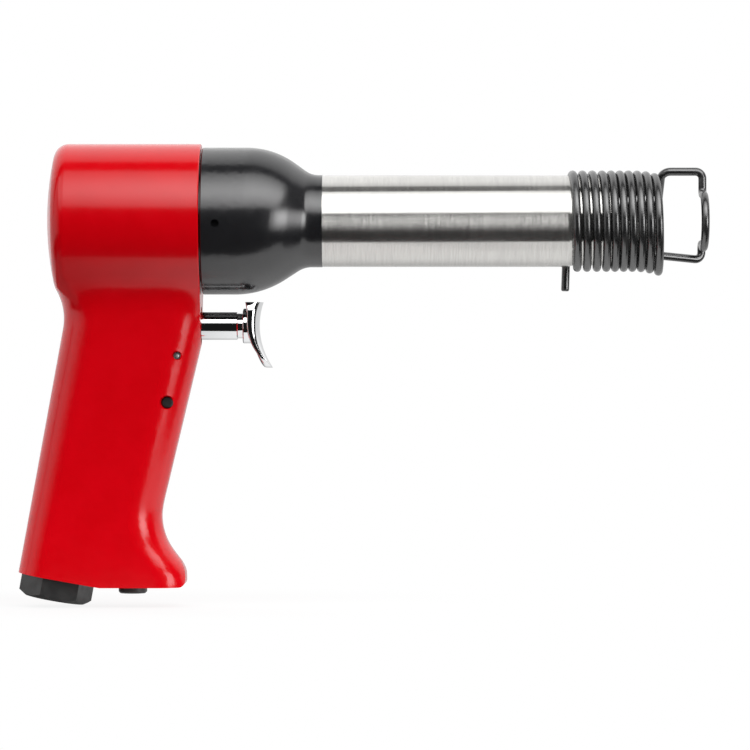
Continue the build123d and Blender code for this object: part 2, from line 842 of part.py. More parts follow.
trigger_front = Plane(origin=(x_pad_back, 0, -trigger_drop), x_dir=(0, 1, 0), z_dir=(1, 0, 0))
trigger_side = Plane(origin=(x_pad_back, 0, -trigger_drop), x_dir=(1, 0, 0), z_dir=(0, -1, 0))


def hollow(height, thickness=0.0):
    """Forward place of the pad's hollow front at a height, or of a face that much behind it."""
    radius = pad_hollow_radius + thickness
    return pad_depth + pad_hollow_radius - math.sqrt(radius**2 - height**2)


crown = hollow(0) - pad_crown_radius
tongue_middle = -(pad_height_down + pad_boss_drop) / 2

with BuildPart() as trigger_pad:
    with BuildSketch(trigger_side) as pad_outline:
        with BuildLine():
            Polyline(
                (hollow(-pad_boss_drop, pad_tongue), -pad_boss_drop),
                (0, -pad_boss_drop),
                (0, pad_height_up - pad_top_bevel),
                (pad_top_setback, pad_height_up),
                (hollow(pad_height_up), pad_height_up),
            )
            ThreePointArc(
                (hollow(pad_height_up), pad_height_up),
                (hollow(0), 0),
                (hollow(-pad_height_down), -pad_height_down),
            )
            Line(
                (hollow(-pad_height_down), -pad_height_down),
                (hollow(-pad_height_down, pad_tongue), -pad_height_down),
            )
            ThreePointArc(
                (hollow(-pad_height_down, pad_tongue), -pad_height_down),
                (hollow(tongue_middle, pad_tongue), tongue_middle),
                (hollow(-pad_boss_drop, pad_tongue), -pad_boss_drop),
            )
        make_face()
        fillet(pad_outline.vertices().group_by(Axis.Y)[0], pad_tip_round)
    extrude(amount=pad_width / 2, both=True)
    with BuildSketch(trigger_side):
        with BuildLine():
            ThreePointArc(
                (hollow(pad_height_up), pad_height_up),
                (hollow(0), 0),
                (hollow(-pad_height_down), -pad_height_down),
            )
            Polyline(
                (hollow(-pad_height_down), -pad_height_down),
                (crown, -pad_height_down),
                (crown, pad_height_up),
                (hollow(pad_height_up), pad_height_up),
            )
        make_face()
    revolve(axis=Axis((x_pad_back + crown, 0, 0), (0, 0, 1)), mode=Mode.INTERSECT)
    with BuildSketch(trigger_front) as front_view:
        with Locations((0, (pad_height_up - pad_height_down) / 2)):
            Rectangle(pad_width, pad_height_up + pad_height_down)
        fillet(front_view.vertices().group_by(Axis.Y)[0], pad_corner_round)
    extrude(amount=pad_hollow_radius, both=True, mode=Mode.INTERSECT)
    with BuildSketch(Plane.XY.offset(-trigger_drop)) as plan_view:
        with Locations((x_pad_back + pad_hollow_radius / 2, 0)):
            Rectangle(pad_hollow_radius, pad_width)
        fillet(plan_view.vertices().group_by(Axis.X)[0], pad_back_round)
    extrude(amount=pad_hollow_radius, both=True, mode=Mode.INTERSECT)
    rod(
        (x_pad_back - stem_neck_length, 0, -trigger_drop),
        (x_pad_back + stem_tenon_length, 0, -trigger_drop),
        stem_tenon_radius + fit_clearance,
        mode=Mode.SUBTRACT,
    )

x_bush_seal = x_bush_front - bush_seal_inset

with BuildPart() as trigger_bush:
    turn(
        (x_bush_front, stem_radius + slide_clearance),
        (x_bush_front, bush_radius),
        (x_bush_back, bush_radius),
        (x_bush_back, stem_radius + slide_clearance),
        level=-trigger_drop,
    )
    turn(
        (x_bush_seal + seal_wire_radius + ring_clearance, stem_radius),
        (x_bush_seal + seal_wire_radius + ring_clearance, seal_outer + ring_clearance),
        (x_bush_seal - seal_wire_radius - ring_clearance, seal_outer + ring_clearance),
        (x_bush_seal - seal_wire_radius - ring_clearance, stem_radius),
        level=-trigger_drop,
        mode=Mode.SUBTRACT,
    )

with BuildPart(Plane(origin=(x_bush_seal, 0, -trigger_drop), z_dir=(1, 0, 0))) as trigger_seal:
    Torus(seal_inner + seal_wire_radius, seal_wire_radius)

# Throttle seat, held by the upper pin
insert_radius = riser_radius - fit_clearance

with BuildPart() as throttle_seat:
    post(riser, insert_radius, seat_start, seat_end)
    post(riser, seat_bore_radius, seat_start, seat_end, mode=Mode.SUBTRACT)
    rod(
        (x_upper_pin, -grip_width, -upper_pin_drop),
        (x_upper_pin, grip_width, -upper_pin_drop),
        upper_pin_radius + fit_clearance,
        mode=Mode.SUBTRACT,
    )

# Throttle valve: its round tip bears on the cone of the trigger stem
cone_angle = math.atan((stem_radius - stem_pilot_radius) / stem_cone_length)
cone_normal = Vector(-math.sin(cone_angle), 0, -math.cos(cone_angle))
cone_corner = Vector(x_cone_large, 0, -trigger_drop - stem_radius)
tip_reach = valve_tip_radius + valve_tip_gap - (riser.origin - cone_corner).dot(cone_normal)
tip_along = tip_reach / riser_down.dot(cone_normal)
throttle_ratio = math.sin(cone_angle) / riser_down.dot(cone_normal)
print("throttle valve travel per trigger travel:", round(throttle_ratio, 4))
guide_radius = seat_bore_radius - slide_clearance

with BuildPart() as throttle_valve:
    post(riser, guide_radius, seat_start, head_start)
    with BuildSketch(riser.offset(seat_start)):
        with PolarLocations(valve_flat + guide_radius, valve_flat_count):
            Rectangle(2 * guide_radius, 4 * guide_radius)
    extrude(amount=head_start - seat_start, mode=Mode.SUBTRACT)
    post(riser, valve_tip_radius, tip_along, seat_start)
    with Locations(riser.from_local_coords((0, 0, tip_along))):
        Sphere(valve_tip_radius)
    post(riser, valve_head_radius, head_start, head_end)
    post(riser, valve_boss_radius, head_end, head_end + valve_boss_length)

with BuildPart() as valve_washer:
    post(riser, valve_head_radius, washer_start, head_start)
    post(riser, guide_radius + fit_clearance, washer_start, head_start, mode=Mode.SUBTRACT)

# Spring seat, held by the lower pin
with BuildPart() as spring_seat:
    post(riser, insert_radius, plug_start, plug_start + 2 * plug_half_length)
    rod(
        (lower_pin_place.X, -grip_width, lower_pin_place.Z),
        (lower_pin_place.X, grip_width, lower_pin_place.Z),
        lower_pin_radius + fit_clearance,
        mode=Mode.SUBTRACT,
    )
    for angle in plug_air_angles:
        air_x = plug_air_offset * math.cos(math.radians(angle))
        air_y = plug_air_offset * math.sin(math.radians(angle))
        with BuildSketch(riser.offset(plug_start)):
            with Locations((air_x, air_y)):
                Circle(plug_air_radius)
        extrude(amount=2 * plug_half_length, mode=Mode.SUBTRACT)

# Throttle spring, between the valve's head and the spring seat
spring_first = spring_start + spring_wire_radius
spring_pitch = (spring_length - 2 * spring_wire_radius) / spring_turns


def spring_place(turns):
    """Centre of the throttle spring's wire after so many turns."""
    angle = math.radians(360 * turns)
    across = (spring_coil_radius * math.cos(angle), spring_coil_radius * math.sin(angle))
    return Vector(*riser.from_local_coords((*across, spring_first + spring_pitch * turns)))


def spring_direction(turns):
    """Direction of the throttle spring's wire after so many turns."""
    angle = math.radians(360 * turns)
    sideways = Vector(*riser.y_dir) * math.cos(angle) - Vector(*riser.x_dir) * math.sin(angle)
    return (sideways * spring_coil_radius + riser_down * (spring_pitch / (2 * math.pi))).normalized()


spring_quarters = [i / 4 for i in range(round(4 * spring_turns) + 1)]

with BuildLine() as spring_route:
    for first, second in zip(spring_quarters, spring_quarters[1:]):
        biarc(
            spring_place(first),
            spring_direction(first),
            spring_place(second),
            spring_direction(second),
        )

spring_wire = spring_route.wires()[0]
spring_gap = least_gap(spring_wire, spring_wire_radius, 0.2)
print("throttle spring, least gap to itself:", round(spring_gap, 3))

with BuildPart() as throttle_spring:
    with BuildSketch(Plane(origin=spring_place(0), z_dir=spring_direction(0))):
        Circle(spring_wire_radius)
    sweep(path=spring_wire)

# Regulator: a turning plug with a window towards the inlet, open at its top to the throttle bore
regulator_ring_groove = regulator_radius - 2 * seal_wire_radius

with BuildPart() as regulator:
    post(regulator_axis, regulator_radius, -regulator_proud, regulator_length)
    chamfer(regulator.edges().group_by(Axis.Z)[0], regulator_chamfer)
    with BuildSketch(regulator_axis.offset(-regulator_proud)):
        Rectangle(4 * regulator_radius, regulator_slot_width)
    extrude(amount=regulator_slot_depth, mode=Mode.SUBTRACT)
    post(
        regulator_axis,
        regulator_hollow_radius,
        regulator_window_rise - regulator_window_radius,
        regulator_length,
        mode=Mode.SUBTRACT,
    )
    rod(
        (x_regulator, 0, z_window),
        (x_regulator - 2 * regulator_radius, 0, z_window),
        regulator_window_radius,
        mode=Mode.SUBTRACT,
    )
    for rise, inner, half in (
        (regulator_ring_rise, regulator_ring_groove, seal_wire_radius + ring_clearance),
        (regulator_groove_rise, regulator_groove_radius, regulator_pin_radius + thread_clearance),
    ):
        with BuildSketch(regulator_axis.offset(rise - half)):
            Circle(2 * regulator_radius)
            Circle(inner, mode=Mode.SUBTRACT)
        extrude(amount=2 * half, mode=Mode.SUBTRACT)

with BuildPart(regulator_axis.offset(regulator_ring_rise)) as regulator_ring:
    Torus(regulator_radius - seal_wire_radius + ring_clearance, seal_wire_radius)

# Air inlet: hex bushing, seal and strainer
hex_radius = hex_across_flats / 2 / math.cos(math.radians(30))

with BuildPart() as inlet_bushing:
    with BuildSketch(inlet):
        RegularPolygon(hex_radius, 6, rotation=hex_turn)
    extrude(amount=hex_height)
    with BuildSketch(Plane(origin=inlet.origin, x_dir=heel_forward, z_dir=(0, 1, 0))):
        with BuildLine():
            Polyline(
                (0, 0),
                (2 * hex_radius, 0),
                (2 * hex_radius, hex_height - hex_bevel),
                (hex_radius, hex_height - hex_bevel),
                (hex_end_radius, hex_height),
                (0, hex_height),
                close=True,
            )
        make_face()
    revolve(axis=Axis(inlet.origin, heel_out), mode=Mode.INTERSECT)
    post(inlet, inlet_thread_radius, -inlet_thread_length, 0)
    post(inlet, inlet_bore_radius, -inlet_thread_length, hex_height, mode=Mode.SUBTRACT)

with BuildPart() as inlet_seal:
    post(inlet, inlet_thread_radius, -seal_depth, -inlet_thread_length)
    post(inlet, inlet_bore_radius, -seal_depth, -inlet_thread_length, mode=Mode.SUBTRACT)

with BuildPart() as inlet_screen:
    post(inlet, inlet_thread_radius, -flange_depth, -seal_depth)
    screen_end = flange_depth + screen_length
    screen_bore = screen_radius - screen_wall
    post(inlet, screen_radius, -screen_end, -flange_depth)
    post(inlet, screen_bore, -screen_end + screen_wall, 0, mode=Mode.SUBTRACT)
    for row in range(screen_rows):
        rise = flange_depth + screen_length * (row + 1) / (screen_rows + 1)
        for i in range(screen_holes_per_row):
            angle = math.radians(360 * i / screen_holes_per_row)
            outer = 2 * screen_radius
            rod(
                inlet.from_local_coords((0, 0, -rise)),
                inlet.from_local_coords((outer * math.cos(angle), outer * math.sin(angle), -rise)),
                screen_hole_radius,
                mode=Mode.SUBTRACT,
            )

# Valve case, its shuttle valve and the pin that lines it up
case_radius = valve_chamber_radius - fit_clearance
shuttle_room = shuttle_length + shuttle_travel + 2 * shuttle_end_gap
x_shuttle_room = x_valve_joint - shuttle_cap_depth
x_shuttle = x_shuttle_room + shuttle_end_gap
dowel_hole = dowel_radius + fit_clearance
x_dowel_back = x_valve_joint - dowel_engagement
x_dowel_front = x_spigot_end + dowel_engagement

with BuildPart() as valve_body:
    turn(
        (x_valve_joint, shuttle_radius),
        (x_valve_joint, case_radius),
        (x_spigot_end, case_radius),
        (x_spigot_end, nozzle_radius),
        (x_shuttle_room + shuttle_room, nozzle_radius),
        (x_shuttle_room + shuttle_room, shuttle_radius),
    )
    rod(
        (x_gallery, 0, -case_radius - gallery_radius),
        (x_gallery, 0, 0),
        gallery_radius,
        mode=Mode.SUBTRACT,
    )
    rod(
        (x_valve_joint, 0, dowel_offset),
        (x_spigot_end, 0, dowel_offset),
        dowel_hole,
        mode=Mode.SUBTRACT,
    )

with BuildPart() as valve_cap:
    turn(
        (x_cap_back, 0),
        (x_cap_back, case_radius),
        (x_valve_joint, case_radius),
        (x_valve_joint, shuttle_radius),
        (x_shuttle_room, shuttle_radius),
        (x_shuttle_room, 0),
    )
    rod(
        (x_dowel_back, 0, dowel_offset),
        (x_valve_joint, 0, dowel_offset),
        dowel_hole,
        mode=Mode.SUBTRACT,
    )

with BuildPart() as valve_gasket:
    turn(
        (x_floor, gasket_hole_radius),
        (x_floor, case_radius),
        (x_cap_back, case_radius),
        (x_cap_back, gasket_hole_radius),
    )

with BuildPart() as valve_dowel:
    rod((x_dowel_back, 0, dowel_offset), (x_dowel_front, 0, dowel_offset), dowel_radius)

with BuildPart() as shuttle_valve:
    turn(
        (x_shuttle, shuttle_hole_radius),
        (x_shuttle, shuttle_radius - slide_clearance),
        (x_shuttle + shuttle_length, shuttle_radius - slide_clearance),
        (x_shuttle + shuttle_length, shuttle_hole_radius),
    )

with BuildPart(Plane(origin=(x_housing_ring, 0, 0), z_dir=(1, 0, 0))) as housing_ring:
    Torus(spigot_radius - housing_ring_wire, housing_ring_wire)

# Piston, resting at the rear end of its bore
piston_radius = piston_bore_radius - slide_clearance

with BuildPart() as piston:
    turn(
        (x_piston_back, 0),
        (x_piston_back, piston_radius - piston_nose_chamfer),
        (x_piston_back + piston_nose_chamfer, piston_radius),
        (x_piston_back + piston_length - piston_nose_chamfer, piston_radius),
        (x_piston_back + piston_length, piston_radius - piston_nose_chamfer),
        (x_piston_back + piston_length, 0),
    )

pieces = {
    "handle": handle,
    "front_housing": front_housing,
    "barrel": barrel,
    "retainer_spring": retainer_spring,
    "trigger_pad": trigger_pad,
    "trigger_stem": trigger_stem,
    "trigger_bush": trigger_bush,
    "trigger_seal": trigger_seal,
    "throttle_pin": throttle_pin,
    "throttle_seat": throttle_seat,
    "throttle_valve": throttle_valve,
    "valve_washer": valve_washer,
    "throttle_spring": throttle_spring,
    "spring_seat": spring_seat,
    "spring_seat_pin": spring_seat_pin,
    "regulator": regulator,
    "regulator_ring": regulator_ring,
    "regulator_pin": regulator_pin,
    "inlet_bushing": inlet_bushing,
    "inlet_seal": inlet_seal,
    "inlet_screen": inlet_screen,
    "valve_body": valve_body,
    "valve_cap": valve_cap,
    "valve_gasket": valve_gasket,
    "valve_dowel": valve_dowel,
    "shuttle_valve": shuttle_valve,
    "housing_ring": housing_ring,
    "piston": piston,
}

os.makedirs("parts", exist_ok=True)
for name, piece in pieces.items():
    piece.part.label = name
    export_step(piece.part, f"parts/{name}.step")
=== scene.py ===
# Looks of a pneumatic rivet hammer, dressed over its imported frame. Lengths are in metres.
import json
import math

import bpy
import numpy as np
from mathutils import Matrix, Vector


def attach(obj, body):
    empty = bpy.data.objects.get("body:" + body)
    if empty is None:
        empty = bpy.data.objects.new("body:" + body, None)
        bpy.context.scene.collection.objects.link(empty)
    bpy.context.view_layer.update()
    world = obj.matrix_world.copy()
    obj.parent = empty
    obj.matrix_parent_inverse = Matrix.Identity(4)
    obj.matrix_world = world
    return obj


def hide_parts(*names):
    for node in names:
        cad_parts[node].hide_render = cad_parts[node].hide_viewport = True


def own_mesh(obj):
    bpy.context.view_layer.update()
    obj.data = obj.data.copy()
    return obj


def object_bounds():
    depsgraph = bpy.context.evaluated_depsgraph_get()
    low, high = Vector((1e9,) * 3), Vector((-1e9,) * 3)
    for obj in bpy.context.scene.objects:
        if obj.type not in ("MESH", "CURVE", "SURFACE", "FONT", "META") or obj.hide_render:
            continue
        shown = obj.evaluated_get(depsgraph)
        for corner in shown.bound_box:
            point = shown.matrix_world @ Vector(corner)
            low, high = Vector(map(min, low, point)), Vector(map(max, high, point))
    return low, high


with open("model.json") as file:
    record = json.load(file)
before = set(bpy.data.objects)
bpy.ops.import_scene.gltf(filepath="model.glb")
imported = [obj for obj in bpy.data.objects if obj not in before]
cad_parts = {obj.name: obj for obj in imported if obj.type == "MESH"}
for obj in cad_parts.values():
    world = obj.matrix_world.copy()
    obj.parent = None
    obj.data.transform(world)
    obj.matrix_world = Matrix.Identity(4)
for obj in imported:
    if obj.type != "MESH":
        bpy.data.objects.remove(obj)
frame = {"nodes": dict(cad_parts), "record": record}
cad_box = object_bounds()
nodes = frame["nodes"]
scene = bpy.context.scene
MM = 0.001

# Camera: square to the side of the tool, a little over a metre away. The pixel's size holds in the
# tool's middle plane, and the muzzle's place is counted in pixels from the picture's top left corner.
PIXEL = 0.3474 * MM
IMAGE_SIDE = 750
MUZZLE_AT = (616.0, 221.2)
FOCAL_PIXELS = 3700.0
SENSOR = 36.0
NEAREST_SEEN = 0.05


def add_camera():
    """Look along +Y at the point that lies in the middle of the picture."""
    middle = IMAGE_SIDE / 2
    data = bpy.data.cameras.new("camera")
    data.sensor_width = SENSOR
    data.lens = FOCAL_PIXELS / IMAGE_SIDE * SENSOR
    data.clip_start = NEAREST_SEEN
    camera = bpy.data.objects.new("camera", data)
    camera.location = (
        (middle - MUZZLE_AT[0]) * PIXEL,
        -FOCAL_PIXELS * PIXEL,
        (MUZZLE_AT[1] - middle) * PIXEL,
    )
    camera.rotation_euler = (math.pi / 2, 0, 0)
    scene.collection.objects.link(camera)
    scene.camera = camera


class Value:
    """One output of a shader node. Python's operators on it add Math nodes."""

    def __init__(self, web, socket):
        self.web = web
        self.socket = socket

    def maths(self, operation, *terms):
        """Add one Math node with these terms."""
        return self.web.node("ShaderNodeMath", {"operation": operation}, dict(enumerate(terms)))

    def __add__(self, other):
        return self.maths("ADD", self, other)

    def __radd__(self, other):
        return self.maths("ADD", other, self)

    def __sub__(self, other):
        return self.maths("SUBTRACT", self, other)

    def __rsub__(self, other):
        return self.maths("SUBTRACT", other, self)

    def __mul__(self, other):
        return self.maths("MULTIPLY", self, other)

    def __rmul__(self, other):
        return self.maths("MULTIPLY", other, self)

    def ease(self, low, high, start=0.0, end=1.0):
        """Go smoothly from start to end as this value goes from low to high."""
        return self.web.node(
            "ShaderNodeMapRange",
            {"interpolation_type": "SMOOTHSTEP"},
            {"Value": self, "From Min": low, "From Max": high, "To Min": start, "To Max": end},
        )


class Web:
    """A node tree, with one method that adds any node to it."""

    def __init__(self, owner):
        owner.use_nodes = True
        self.tree = owner.node_tree
        self.tree.nodes.clear()

    def node(self, kind, settings=None, inputs=None, out=0):
        """Add a node, set its settings first and then its sockets, and give back one output."""
        made = self.tree.nodes.new(kind)
        for name, setting in (settings or {}).items():
            setattr(made, name, setting)
        for name, value in (inputs or {}).items():
            if isinstance(value, Value):
                self.tree.links.new(value.socket, made.inputs[name])
            else:
                made.inputs[name].default_value = value
        return Value(self, made.outputs[out]) if made.outputs else made

    def parts(self, vector):
        """The three numbers of a vector."""
        return [self.node("ShaderNodeSeparateXYZ", None, {0: vector}, out=i) for i in range(3)]

    def place(self, stretch=(1.0, 1.0, 1.0), uv=False):
        """The surface's own coordinates, stretched."""
        own = self.node("ShaderNodeTexCoord", out=2 if uv else 3)
        inputs = {"Vector": own, "Scale": stretch}
        return self.node("ShaderNodeMapping", {"vector_type": "POINT"}, inputs)

    def noise(self, place, scale, detail=2.0, roughness=0.5):
        """Soft noise from 0 to 1, with so many grains to the metre."""
        inputs = {"Vector": place, "Scale": scale, "Detail": detail, "Roughness": roughness}
        return self.node("ShaderNodeTexNoise", None, inputs)

    def blend(self, share, first, second):
        """Mix two colours."""
        inputs = {0: share, 6: (*first, 1.0), 7: (*second, 1.0)}
        return self.node("ShaderNodeMix", {"data_type": "RGBA"}, inputs, out=2)

    def bump(self, height, depth):
        """Turn a height from 0 to 1 into a bent normal, with so many metres from low to high."""
        return self.node("ShaderNodeBump", None, {"Height": height, "Distance": depth})

    def lean(self, slope):
        """The smooth normal, leant along the piece's own X axis by a slope."""
        turn = {"vector_type": "VECTOR", "convert_from": "OBJECT", "convert_to": "WORLD"}
        along = self.node("ShaderNodeVectorTransform", turn, {0: (slope, 0.0, 0.0)})
        upright = self.node("ShaderNodeNewGeometry", out=1)
        leant = self.node("ShaderNodeVectorMath", {"operation": "ADD"}, {0: upright, 1: along})
        return self.node("ShaderNodeVectorMath", {"operation": "NORMALIZE"}, {0: leant})

    def shade(self, sockets):
        """A surface shader with these sockets."""
        return self.node("ShaderNodeBsdfPrincipled", None, sockets)


def finish_of(name, paint):
    """Make a material. Its paint function is given a web, and gives back a shader or its sockets."""
    material = bpy.data.materials.new(name)
    web = Web(material)
    made = paint(web)
    shader = made if isinstance(made, Value) else web.shade(made)
    web.node("ShaderNodeOutputMaterial", None, {"Surface": shader})
    return material


# Where most of a soft noise lies, and where nearly all of it does
NOISE_CORE = (0.3, 0.7)
NOISE_SPAN = (0.2, 0.8)


def red_enamel(web):
    """Glossy red enamel with a fine orange peel over the slow waves of a casting."""
    own = web.place()
    peel = web.noise(own, 700.0, 2.0)
    waves = web.noise(own, 70.0, 1.0)
    depth = web.noise(own, 110.0, 3.0).ease(*NOISE_CORE)
    return {
        "Base Color": web.blend(depth, (0.605, 0.0001, 0.004), (0.635, 0.0003, 0.005)),
        "Roughness": web.noise(own, 400.0, 3.0).ease(*NOISE_SPAN, 0.15, 0.2),
        "IOR": 1.5,
        "Normal": web.bump(peel * 0.25 + waves, 0.01 * MM),
    }


def black_enamel(web):
    """Black baked coat with a deep gloss and the faint turning lines of the steel under it."""
    own = web.place()
    lines = web.noise(web.place((1600.0, 30.0, 30.0)), 1.0, 2.0)
    waves = web.noise(own, 160.0, 1.0)
    tone = web.noise(own, 90.0, 3.0).ease(*NOISE_CORE)
    return {
        "Base Color": web.blend(tone, (0.0112, 0.0114, 0.0128), (0.0142, 0.0144, 0.0158)),
        "Roughness": web.noise(own, 260.0, 3.0).ease(*NOISE_SPAN, 0.18, 0.23),
        "IOR": 1.75,
        "Normal": web.bump(lines * 0.15 + waves, 0.004 * MM),
    }


# Flanks of the barrel's grinding grooves: slope along it, roughness, least and most share of its face
FLANKS = ((0.5, 0.18, 0.105, 0.16), (-0.5, 0.5, 0.15, 0.21))


def ground_steel(web):
    """Steel ground on a centreless grinder: an even face under grooves too fine to see one by one.
    A share of the face is the grooves' flanks, which lean to either end of the barrel."""
    hoops = web.noise(web.place((2600.0, 110.0, 110.0)), 1.0, 2.0).ease(*NOISE_CORE)
    cloud = web.noise(web.place((60.0, 120.0, 120.0)), 1.0, 3.0).ease(*NOISE_CORE)
    face = {
        "Base Color": web.blend(hoops, (0.63, 0.62, 0.6), (0.71, 0.7, 0.675)),
        "Metallic": 1.0,
        "Roughness": cloud.ease(0.0, 1.0, 0.12, 0.16),
        "Normal": web.bump(hoops, 0.001 * MM),
    }
    shader = web.shade(face)
    grain = hoops * 0.6 + cloud * 0.4
    for slope, roughness, least, most in FLANKS:
        flank = web.shade(dict(face, Roughness=roughness, Normal=web.lean(slope)))
        share = grain.ease(0.0, 1.0, least, most)
        shader = web.node("ShaderNodeMixShader", None, {0: share, 1: shader, 2: flank})
    return shader


def black_wire(web):
    """Drawn spring wire under black oxide: faint draw lines along it and a soft gloss."""
    along = web.noise(web.place((60.0, 12.0, 1.0), uv=True), 1.0, 2.0)
    own = web.place()
    patch = web.noise(own, 320.0, 3.0).ease(*NOISE_CORE)
    pits = web.noise(own, 2600.0, 2.0)
    return {
        "Base Color": web.blend(patch, (0.012, 0.012, 0.0125), (0.021, 0.0208, 0.0208)),
        "Roughness": (along * 0.5 + patch * 0.5).ease(*NOISE_SPAN, 0.2, 0.29),
        "IOR": 2.05,
        "Normal": web.bump(along * 0.5 + pits * 0.5, 0.005 * MM),
    }


def chrome_plate(web):
    """Bright chrome over a hand-polished pressing."""
    own = web.place()
    waves = web.noise(own, 260.0, 1.0)
    haze = web.noise(own, 900.0, 3.0)
    return {
        "Base Color": web.blend(haze, (0.8, 0.81, 0.82), (0.87, 0.875, 0.88)),
        "Metallic": 1.0,
        "Roughness": haze.ease(*NOISE_SPAN, 0.04, 0.09),
        "Normal": web.bump(waves, 0.01 * MM),
    }


def turned_steel(web):
    """Plain turned steel with a machined grain."""
    own = web.place()
    grain = web.noise(web.place((2400.0, 300.0, 300.0)), 1.0, 2.0)
    tone = web.noise(own, 240.0, 2.0).ease(*NOISE_CORE)
    return {
        "Base Color": web.blend(tone, (0.46, 0.46, 0.46), (0.56, 0.56, 0.55)),
        "Metallic": 1.0,
        "Roughness": grain.ease(*NOISE_SPAN, 0.24, 0.38),
        "Normal": web.bump(grain, 0.004 * MM),
    }


def black_oxide(web):
    """Blackened bar steel, dull, with the grain of its machined flats."""
    own = web.place()
    grain = web.noise(web.place((300.0, 1800.0, 1800.0)), 1.0, 2.0)
    tone = web.noise(own, 260.0, 3.0).ease(*NOISE_CORE)
    return {
        "Base Color": web.blend(tone, (0.008, 0.0082, 0.0082), (0.013, 0.0128, 0.0124)),
        "Roughness": (grain * 0.5 + tone * 0.5).ease(*NOISE_SPAN, 0.34, 0.48),
        "IOR": 1.65,
        "Normal": web.bump(grain, 0.005 * MM),
    }


def bronze(web):
    """Sintered bronze with a fine open grain."""
    own = web.place()
    pores = web.noise(own, 3000.0, 2.0)
    tone = web.noise(own, 300.0, 2.0).ease(*NOISE_CORE)
    return {
        "Base Color": web.blend(tone, (0.42, 0.26, 0.1), (0.55, 0.36, 0.16)),
        "Metallic": 1.0,
        "Roughness": pores.ease(*NOISE_SPAN, 0.32, 0.5),
        "Normal": web.bump(pores, 0.008 * MM),
    }


def seal_rubber(web):
    """Moulded black rubber."""
    own = web.place()
    bloom = web.noise(own, 500.0, 3.0).ease(*NOISE_CORE)
    grain = web.noise(own, 2600.0, 2.0)
    return {
        "Base Color": web.blend(bloom, (0.014, 0.014, 0.014), (0.024, 0.024, 0.025)),
        "Roughness": bloom.ease(0.0, 1.0, 0.55, 0.7),
        "Normal": web.bump(grain, 0.006 * MM),
    }


PAINTS = (
    red_enamel,
    black_enamel,
    ground_steel,
    black_wire,
    chrome_plate,
    turned_steel,
    black_oxide,
    bronze,
    seal_rubber,
)
finishes = {paint.__name__: finish_of(paint.__name__, paint) for paint in PAINTS}


# Solids: corners this near are one, and faces that meet at a smaller turn than this are shaded as one
WELD_GAP = 0.002 * MM
SMOOTH_TURN = math.radians(28)


def dress_nodes():
    """Give every solid of the frame the finish of its slot, and shade its curved faces smoothly."""
    for part in frame["record"]["subparts"]:
        node = nodes[part["node"]]
        node.data.materials.clear()
        node.data.materials.append(finishes[part["material_slot"]])
        weld = node.modifiers.new("weld", "WELD")
        weld.merge_threshold = WELD_GAP
        split = node.modifiers.new("split", "EDGE_SPLIT")
        split.split_angle = SMOOTH_TURN
        even = node.modifiers.new("even", "WEIGHTED_NORMAL")
        even.mode = "FACE_AREA"


def grid_faces(rows, columns):
    """Quads of a grid whose columns close into a ring, and one face over each of its two ends."""
    row, column = np.meshgrid(np.arange(rows - 1), np.arange(columns), indexing="ij")
    beside = (column + 1) % columns
    quads = (
        row * columns + column,
        row * columns + beside,
        (row + 1) * columns + beside,
        (row + 1) * columns + column,
    )
    ends = [np.arange(columns)[::-1], np.arange(columns) + (rows - 1) * columns]
    return np.stack(quads, axis=-1).reshape(-1, 4).tolist() + [end.tolist() for end in ends]


def add_piece(name, points, columns, finish, body, lengths=None):
    """Put rings of points into a closed mesh that rides on a body. Lengths along the rings' path
    become its first texture coordinate, and the share of the way round becomes the second."""
    rows = len(points) // columns
    faces = grid_faces(rows, columns)
    mesh = bpy.data.meshes.new(name)
    mesh.from_pydata((points * MM).tolist(), [], faces)
    mesh.polygons.foreach_set("use_smooth", np.ones(len(faces), bool))
    if lengths is not None:
        row = np.repeat(np.arange(rows - 1), columns)
        column = np.tile(np.arange(columns), rows - 1)
        here = lengths[row] * MM
        ahead = lengths[row + 1] * MM
        along = np.stack([here, here, ahead, ahead], axis=-1)
        round_it = np.stack([column, column + 1, column + 1, column], axis=-1) / columns
        sides = np.stack([along, round_it], axis=-1).reshape(-1, 2)
        uv = np.concatenate([sides, np.zeros((2 * columns, 2))])
        mesh.uv_layers.new(name="UVMap").data.foreach_set("uv", uv.reshape(-1).astype(np.float32))
    mesh.materials.append(finishes[finish])
    piece = bpy.data.objects.new(name, mesh)
    scene.collection.objects.link(piece)
    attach(piece, body)
    return piece


# Retainer spring: sizes of its wire, its coils and its bail, in millimetres
WIRE_RADIUS = 1.42
COIL_RADIUS = 16.2
COIL_START = -16.05
NOSE_TURNS = 3.5
NOSE_PITCH = 3.41
FREE_TURNS = 6.5
FREE_PITCH = 3.01
COIL_END_ANGLE = 45.0
LAST_TURN = NOSE_TURNS + FREE_TURNS + COIL_END_ANGLE / 360
COIL_DROOP = 1.7
DROOP_TURNS = 3.2
TAIL_LENGTH = 24.0
BAIL_REACH = 14.5
BAIL_RISE = 1.2
BEND_RADIUS = 3.2
FOLD_RADIUS = 2.4
LOOP_RADIUS = 9.2
LOOP_END = math.radians(300)
HOOK_RADIUS = 2.0
LEG_STRAIGHT = 1.1
LEG_LENGTH = 17.6
LEG_INSET = 4.5

# Wire: how finely it is drawn, and the round of its cut ends as a share of its radius
RING_SIDES = 24
STEPS_A_TURN = 72
LOOP_STEPS = 90
HOOK_STEPS = 20
BEND_STEPS_LEAST = 4
RUN_STEP = 0.8
BEND_STEP = 0.3
END_ROUND = 0.45
END_DEPTHS = (0.0, 0.06, 0.2, 0.45, 1.0)


def run(start, end):
    """Points of a straight run, without its first point."""
    count = max(int(np.linalg.norm(end - start) / RUN_STEP), 1)
    return start + (end - start) * (np.arange(1, count + 1) / count)[:, None]


